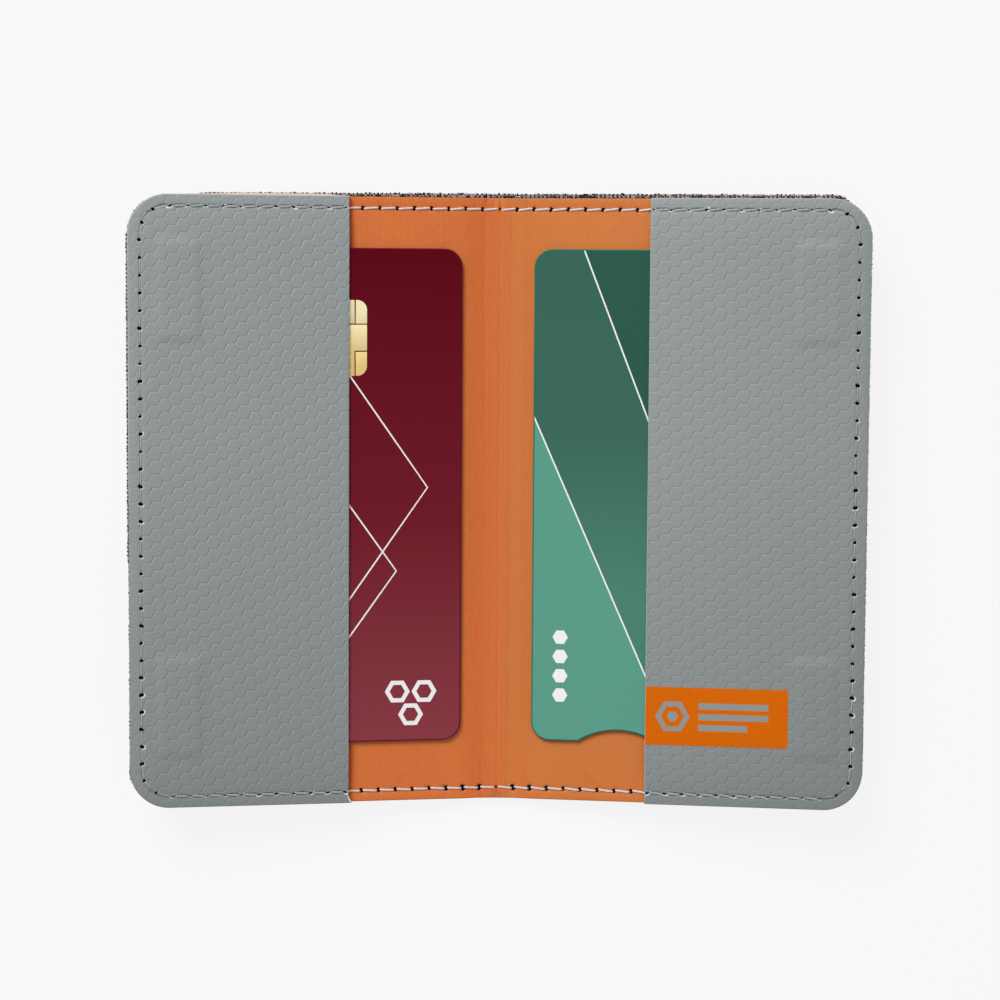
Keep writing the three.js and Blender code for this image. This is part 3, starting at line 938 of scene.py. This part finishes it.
grey = (0.262, 0.289, 0.289)
grey_leather = Recipe("grey_leather", grey, 0.55)
out, up, _ = grey_leather.parts()
grain = grey_leather.mottled(3.4, 4, tone(grey, 0.95), tone(grey, 1.05))
# Painted shade: the panel darkens towards its lower end and towards its right end, where less light falls on
# it.
shade_towards_lower_end = (up * (-0.5 / leaf_top) + 0.1).at_least(0.0)
shade_towards_right_end = (out * 0.008 - 0.24).at_least(0.0)
grey_leather.colour(grey_leather.mixed(shade_towards_lower_end + shade_towards_right_end, grain, tone(grey, 0.7)))
grey_leather.bump(grey_leather.cells(4.5), 0.02)
# Paler, for the cut edges' own colour and for the painted highlight along the upper edge.
grey_cut_and_highlight = Recipe("grey_cut_and_highlight", (0.4, 0.46, 0.48), 0.8, (9.0, 3, 0.05))
# Pale grey for the painted highlights beside the needle holes, and for the frayed flake at the left mouth's
# lower corner.
glint_and_flake_grey = Recipe("glint_and_flake_grey", (0.62, 0.65, 0.66), 0.85, (12.0, 3, 0.04))
for hand, side in SIDES.items():
    rings = hole_rings(*panel_hole, shares=(1.6, 1.3, 1.0, 0.75, 0.5, 0.25))
    rings = [ring for ring in rings if ring[0][0] > mouth - 1]
    seam_lines = [leaf_outline(seam_inset, 0.4)]
    for gap in (0.1, 0.14, 0.18, 0.26, 0.3, 0.36, 0.5, 0.7):
        seam_lines += [leaf_outline(seam_inset - gap, 0.4), leaf_outline(seam_inset + gap, 0.4)]
    edge_lines = [pocket_ring(gap, mouth_fray[hand]) for gap in (0.03, 0.09, panel_round)]
    gaps = (0.1, 0.2, 0.3, 0.4)
    outlines = [box_line(low[:2] - gap, high[:2] + gap) for low, high in magnet_boxes[hand] for gap in gaps]
    sheet = closed_sheet(
        pocket_ring(0, mouth_fray[hand])[::-1],
        (lambda points: panel_upper(points, hand), hexagon_lines(hand) + rings + seam_lines + edge_lines),
        (lambda points: panel_lower(points, hand), outlines, pocket_spots),
    )
    centres = mean_of_faces(*sheet[:2])
    # Faces within a needle hole take the painted hole shade.
    reach, number = hole_reach(centres, *panel_hole)
    glint_way = np.stack([side * np.cos(glint_turn), np.sin(glint_turn)], 1)[number]
    from_hole = ((centres[:, :2] - needle_places[number]) * glint_way).sum(1)
    # Faces beside a hole on its lit side are painted as a highlight; the frayed flake at the left mouth's lower
    # corner takes the same pale colour.
    glint_side = from_hole > np.where(rows_on_panels, 0.08, 0.16)[number]
    glints_and_flake = (reach > 1) & (reach < glint_reach[number]) & glint_side
    from_mouth = centres[:, 0] - mouth_edge(centres[:, 1], mouth_fray[hand])
    # Paler at the mouth, as the cut edge, and along the upper edge, as a painted highlight.
    pale = (from_mouth < 0.1) | ((from_edge(centres) < 0.09) & (centres[:, 1] > 0))
    at_corner = (centres[:, 0] < mouth + 0.1) & (centres[:, 1] < 2 - leaf_top)
    glints_and_flake |= (from_mouth < 0.35) & at_corner & (side < 0)
    # The walls of the lower edge take the dark backing colour: painted shade.
    shaded_lower_rim = (sheet[2] == 2) & (from_mouth > 0.1) & (centres[:, 1] < 0)
    numbers = np.select([shaded_lower_rim, sheet[2] > 0, reach < 0.95, glints_and_flake, pale], [1, sheet[2], 3, 4, 2], 0)
    recipes = [grey_leather, backing_cloth, grey_cut_and_highlight, hole_shade, glint_and_flake_grey]
    panel = add_piece("panel_" + hand, hand, *sheet[:2], recipes, numbers)
    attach(panel, hand + "_leaf")
    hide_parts(hand + "_panel")

# Needle thread
# A pale three-ply thread of the lockstitch, seen from inside. It lies proud of the soft lining, while on
# the panels it sinks into the groove that it has drawn, so that little more than its ends shows. There it is
# painted grey, as the shade in the groove, and its ends in the holes are painted near black, as shade.
thread_stations = np.array([0, 0.03, 0.07, 0.11, 0.16, 0.24, 0.36, 0.5, 0.64, 0.76, 0.84, 0.89, 0.93, 0.97, 1])
thread_ends = (1 - np.clip(np.minimum(thread_stations, 1 - thread_stations) / 0.19, 0, 1)) ** 1.2
three_ply = {"sides": 12, "lobe": 0.13, "twist": 2 * math.pi / 3.2}
# In the long rows on a panel, along its outer edge, and on the lining
needle_proud = (-0.26, -0.11, 0.02)
needle_radius = (0.23, 0.14, 0.18)
needle_dive = 0.9  # of each stitch's ends into the holes
long_row_step = {-1: 0.1, 1: 0.16}  # across the seam, at the left and at the right
other_step = 0.03


def thread_lines(side, surface, way, proud, dive):
    """A line for each stitch of a half, from hole to hole over a surface, way being 1 up or -1 down. On the
    two long rows its right end lies nearer to the edge than its left end, by twice the step."""
    step = np.where(in_rows, long_row_step[side], other_step)
    lines = []
    for i in range(stitches_in_half):
        lean = 1 if side * (needle_places[i + 1] - needle_places[i])[0] > 0 else -1
        start = needle_places[i] - lean * step[i] * seam_outwards[i]
        end = needle_places[i + 1] + lean * step[i + 1] * seam_outwards[i + 1]
        flat = start + thread_stations[:, None] * (end - start)
        heights = surface(flat)
        for _ in range(2):
            heights = np.maximum(heights, np.convolve(np.pad(heights, 1, "edge"), (0.25, 0.5, 0.25), "valid"))
        sunk = proud(flat) - dive * thread_ends
        lines.append(np.column_stack([flat, heights + way * sunk]))
    return lines


def by_row(points, long_row, outer_row, on_lining):
    """One of three values for each point, by where on the leaf the thread lies there."""
    return np.where(points[:, 0] > mouth, np.where(beside_rows(points), long_row, outer_row), on_lining)


needle_thread = Recipe("needle_thread", (0.66, 0.6, 0.61), 0.75, (12.0, 3, 0.03))
thread_groove_shade = Recipe("thread_groove_shade", (0.32, 0.35, 0.35), 0.75, (12.0, 3, 0.03))
for hand, side in SIDES.items():
    lines = thread_lines(
        side,
        lambda flat: np.where(flat[:, 0] > mouth, panel_base(flat, hand), lining_base(flat)),
        1,
        lambda flat: by_row(flat, *needle_proud),
        needle_dive,
    )
    middles = np.array([line[len(line) // 2] for line in lines])
    points, faces, of_tube = tubes(lines, by_row(middles, *needle_radius), **three_ply)
    # Ends in the holes get the painted hole shade, and stitches on the panels the painted groove shade.
    in_hole = (of_tube[:, 1] < 3) | (of_tube[:, 1] > len(thread_stations) - 5)
    numbers = np.where(in_hole, 2, (middles[:, 0] > mouth)[of_tube[:, 0]])
    recipes = [needle_thread, thread_groove_shade, hole_shade]
    thread = add_piece("needle_thread_" + hand, hand, points, faces, recipes, numbers)
    bend_with(thread, hand)
    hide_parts(hand + "_needle_thread", "spine_needle_thread_top", "spine_needle_thread_bottom")

# Bobbin thread
# The lockstitch's other thread, on the outside of the cover, in the groove that the stitches draw in.
bobbin_proud = 0.13
bobbin_radius = 0.18
bobbin_dive = 0.5
for hand, side in SIDES.items():
    lines = thread_lines(side, cover_lower, -1, flat_at(bobbin_proud), bobbin_dive)
    points, faces, _ = tubes(lines, [bobbin_radius] * len(lines), **three_ply)
    thread = add_piece("bobbin_thread_" + hand, hand, points, faces, [needle_thread])
    bend_with(thread, hand)
    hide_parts(hand + "_bobbin_thread", "spine_bobbin_thread_top", "spine_bobbin_thread_bottom")

# Cards
# Two glossy plastic cards, each with a thin line round its rim, painted as the sheen on its rounded edge.
# The left one is dark red with angled white lines, and the right one has slanting bands of green and a round
# notch in its lower edge.
card_corner = 3.2
card_round = 0.1
card_rim = 0.22  # width of the painted sheen line round a card
card_length = 85.6
drawn_width = 0.26  # of the white lines
card_hexagon = np.array([(math.cos(a), math.sin(a)) for a in np.linspace(0, 2 * math.pi, 7)])


def ribbon(line, width):
    """The two edges of a thin drawn line."""
    line = np.array(line)
    across = outwards_of(line) * width / 2
    return [line + across, line - across]


def in_hexagon(points, centre, radius):
    """Whether points lie inside a hexagon with a level top."""
    x, y = np.abs(points[:, :2] - centre).T
    return np.maximum(y, x * math.sqrt(0.75) + y / 2) < radius * math.sqrt(0.75)


def card_sheet(low, high, lines, art, notch=None):
    """A card with rounded corners and edges, and the number of the colour of each of its faces. A notch
    in the lower edge is given as its middle, width and depth."""
    rim = rounded_ring(low, high, card_corner, steps=13)
    if notch:
        centre, width, depth = notch
        radius = (width**2 / 4 + depth**2) / (2 * depth)
        reach = math.asin(width / 2 / radius)
        foot = low[1] + depth - radius
        turn = np.linspace(-reach, reach, 25)
        arc = [(centre + radius * math.sin(a), foot + radius * math.cos(a)) for a in turn]
        rim = np.concatenate([arc, rim])
    closed = drawn_in(rim, 0)
    edge_lines = [drawn_in(rim, gap) for gap in (0.03, card_round, card_rim)]
    sheet = closed_sheet(
        rim,
        (lambda points: high[2] - edge_drop(distance(points, closed), card_round), lines + edge_lines),
        (lambda points: low[2] + edge_drop(distance(points, closed), card_round), edge_lines[:2]),
    )
    centres = mean_of_faces(*sheet[:2])
    # The rim, and the card's sides and back, are painted in the rim's colour, as the sheen on its rounded edge.
    rimmed = (sheet[2] != 0) | (distance(centres, closed) < card_rim)
    return sheet[0], sheet[1], np.where(rimmed, 1, art(centres))


def glossy(name, colour):
    return Recipe(name, colour, 0.3, (0.8, 2, 0.02), specular=0.06)


card_low, card_high = laid_flat("left_card", -1)
red_plastic = glossy("red_plastic", (0.159, 0.011, 0.021))
red_stops = (0.0, (0.245, 0.042, 0.058)), (0.45, (0.155, 0.01, 0.02)), (1.0, (0.105, 0.001, 0.007))
red_plastic.colour_upwards(card_low[1], card_length, *red_stops)
red_rim_sheen = glossy("red_rim_sheen", (0.12, 0.004, 0.024))
card_white = glossy("card_white", (0.86, 0.84, 0.85))
angles = [
    [(28, 24.5), (20.3, 13.5), (12.6, 2.5), (20.3, -8.5), (28, -19.5)],
    [(28, 2), (23, -5), (18, -12), (23, -19), (28, -26)],
]
mark = np.array([15.4, -34.6])
mark_centres = [mark + (-2.35, 1.45), mark + (2.35, 1.45), mark + (0, -2.6)]
mark_outside, mark_inside = 2.2, 1.35
lines = [edge for angle in angles for edge in ribbon(angle, drawn_width)]
lines += [centre + card_hexagon * radius for centre in mark_centres for radius in (mark_outside, mark_inside)]


def red_art(points):
    white = np.min([distance(points, angle) for angle in angles], axis=0) < drawn_width / 2
    for centre in mark_centres:
        white |= in_hexagon(points, centre, mark_outside) & ~in_hexagon(points, centre, mark_inside)
    return np.where(white, 2, 0)


card = card_sheet(card_low, card_high, lines, red_art)
red_card = add_piece("card_left", "left", *card[:2], [red_plastic, red_rim_sheen, card_white], card[2])
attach(red_card, "left_card")
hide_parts("left_card")

card_low, card_high = laid_flat("right_card", 1)
green_mid = glossy("green_mid", (0.06, 0.191, 0.138))
green_stops = (0.3, (0.068, 0.21, 0.155)), (0.62, (0.042, 0.135, 0.1)), (1.0, (0.038, 0.125, 0.094))
green_mid.colour_upwards(card_low[1], card_length, *green_stops)
green_dark = glossy("green_dark", (0.025, 0.095, 0.07))
green_light = glossy("green_light", (0.1, 0.32, 0.24))
green_rim_sheen = glossy("green_rim_sheen", (0.002, 0.156, 0.105))
bands = [[(14.0, 46), (28, 10)], [(5.0, 18), (28, -34)]]
beads = [np.array([11.3, up]) for up in (-23.6, -27.0, -30.4, -33.8)]
bead_radius = 1.35
notch = (fold_from_middle + 17.9, 13.9, 2.06)
lines = [edge for band in bands for edge in ribbon(band, drawn_width)]
lines += [bead + card_hexagon * bead_radius for bead in beads]


def over_line(points, line):
    (x1, y1), (x2, y2) = line
    return points[:, 1] > y1 + (y2 - y1) * (points[:, 0] - x1) / (x2 - x1)


def green_art(points):
    colour = np.where(over_line(points, bands[0]), 3, np.where(over_line(points, bands[1]), 0, 4))
    white = np.min([distance(points, band) for band in bands], axis=0) < drawn_width / 2
    for bead in beads:
        white |= in_hexagon(points, bead, bead_radius)
    return np.where(white, 2, colour)


card = card_sheet(card_low, card_high, lines, green_art, notch)
greens = [green_mid, green_rim_sheen, card_white, green_dark, green_light]
green_card = add_piece("card_right", "right", *card[:2], greens, card[2])
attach(green_card, "right_card")
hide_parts("right_card")

# Contact plate
# The left card's plate of gilt pads, which thin dark gaps divide.
plate_low, plate_high = laid_flat("left_card_contacts", -1)
plate_corner = 1.7
plate_height = 13.0
gap_width = 0.26
column_inset = 2.04
gilt = Recipe("gilt", (0.85, 0.7, 0.34), 0.35, (3.0, 2, 0.01), metallic=0.12)
gilt.colour_upwards(plate_low[1], plate_height, (0.1, (0.8, 0.57, 0.19)), (0.9, (0.97, 0.87, 0.52)))
pad_gap = Recipe("pad_gap", (0.12, 0.008, 0.016), 0.6, (8.0, 2, 0.01))
(left, bottom), (right, top) = plate_low[:2], plate_high[:2]
rows = (bottom + (top - bottom) * 0.324, bottom + (top - bottom) * 0.681)
gaps = [[(left - 1, rows[1]), (right + 1, rows[1])]]
for start, column in ((left - 1, left + column_inset), (right + 1, right - column_inset)):
    gaps.append([(column, rows[1]), (column, top + 1)])
    gaps.append([(start, rows[0]), (column, rows[0])])
    gaps.append([(column, rows[0]), (column, bottom - 1)])


def gap_depth(points):
    nearest = np.min([distance(points, gap) for gap in gaps], axis=0)
    return np.clip((gap_width / 2 - nearest) / 0.04, 0, 1)


widths = (gap_width, gap_width - 0.08)
sheet = closed_sheet(
    rounded_ring(plate_low, plate_high, plate_corner),
    (
        lambda points: plate_high[2] + 0.03 - 0.02 * gap_depth(points),
        [edge for gap in gaps for width in widths for edge in ribbon(gap, width)],
    ),
    (flat_at(plate_low[2]),),
)
in_gap = (mean_of_faces(gap_depth(sheet[0]), sheet[1]) > 0.6) & (sheet[2] == 0)
plate = add_piece("contacts_left", "left", *sheet[:2], [gilt, pad_gap], in_gap, sharp=30)
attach(plate, "left_card")
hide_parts("left_card_contacts")

# Label
# A thin orange label glued to the right panel beside the mouth, printed with a grey hexagon and grey bars.
label_low, label_high = laid_flat("right_label", 1)
orange_label = Recipe("orange_label", (0.624, 0.127, 0.001), 0.45, (2.0, 3, 0.02), specular=0.06)
orange_label.colour(orange_label.mottled(4.0, 3, (0.58, 0.11, 0.001), (0.68, 0.142, 0.001)))
label_grey = Recipe("label_grey", (0.26, 0.27, 0.26), 0.5, (2.0, 3, 0.02))
(left, bottom), (right, top) = label_low[:2], label_high[:2] - (0.05, 0)
label_thickness = 0.08
label_round = 0.05
bar_width = 1.1
drape_step = 0.8
middle_up = (bottom + top) / 2
label_mark = np.array([left + 4.7, middle_up])
mark_radii = (3.0, 2.0, 1.0)
bars = []
for shorter, rise in ((3.4, 1.9), (3.4, 0), (7, -1.9)):
    up = middle_up + rise
    bars.append(box_line((left + 9.2, up - bar_width / 2), (right - shorter, up + bar_width / 2)))
label_lines = [label_mark + card_hexagon * radius for radius in mark_radii] + bars


def label_art(points):
    outer, inner, core = (in_hexagon(points, label_mark, radius) for radius in mark_radii)
    printed = outer & ~inner | core
    for bar in bars:
        printed |= ((points[:, :2] > bar[0]) & (points[:, :2] < bar[2])).all(1)
    return printed


def label_level(points):
    return panel_base(points, "right") + label_thickness


closed = box_line((left, bottom), (right, top))
columns = np.arange(left + drape_step, right, drape_step)
drape = [(x, y) for x in columns for y in np.arange(bottom + drape_step, top, drape_step)]
sheet = closed_sheet(
    np.concatenate([np.linspace(closed[i], closed[i + 1], 36)[:-1] for i in range(4)]),
    (lambda points: label_level(points) - edge_drop(distance(points, closed), label_round), label_lines, drape),
    (lambda points: panel_base(points, "right"), [], drape),
)
printed = (sheet[2] == 0) & label_art(mean_of_faces(*sheet[:2]))
label = add_piece("label_right", "right", *sheet[:2], [orange_label, label_grey], printed)
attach(label, "right_leaf")
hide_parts("right_label")

# Floor and light
# A plain pale floor with the holder's faint shadow, an even light all round, and a large soft lamp at the
# upper left, which is close enough to leave the lower end a little darker.
bpy.ops.mesh.primitive_plane_add(size=6.0, location=(0, 0, -0.02 * MM))
floor = bpy.context.object
floor.name = "floor"
pale = Recipe("pale_floor", (0.8, 0.8, 0.8), 0.9)
seen = pale.add("BsdfDiffuse", Color=(0.08, 0.08, 0.08, 1))
glow = pale.add("Emission", Color=(1, 1, 1, 1), Strength=0.865)
both = pale.add("AddShader")
pale.links.new(seen.outputs[0], both.inputs[0])
pale.links.new(glow.outputs[0], both.inputs[1])
path = pale.add("LightPath")
seen_ray = pale.maths("MAXIMUM", path.outputs["Is Camera Ray"], path.outputs["Is Glossy Ray"])
choice = pale.add("MixShader", Fac=seen_ray.at_least(path.outputs["Is Transmission Ray"]))
pale.links.new(pale.shader.outputs[0], choice.inputs[1])
pale.links.new(both.outputs[0], choice.inputs[2])
pale.links.new(choice.outputs[0], pale.nodes["Material Output"].inputs["Surface"])
floor.data.materials.append(pale.material)

world = bpy.data.worlds.new("soft_light")
world.use_nodes = True
world.node_tree.nodes["Background"].inputs["Color"].default_value = (1, 1, 1, 1)
world.node_tree.nodes["Background"].inputs["Strength"].default_value = 0.45
bpy.context.scene.world = world
lamp_data = bpy.data.lights.new("lamp", "AREA")
lamp_data.size = 0.56
lamp_data.spread = math.radians(60)
lamp_data.energy = 1.68
lamp = bpy.data.objects.new("lamp", lamp_data)
lamp.location = (-0.42, 0.76, 0.86)
lamp.rotation_mode = "QUATERNION"
lamp.rotation_quaternion = (Vector((0, -0.04, 0)) - lamp.location).to_track_quat("-Z", "Y")
bpy.context.scene.collection.objects.link(lamp)
bpy.context.scene.view_settings.view_transform = "Standard"
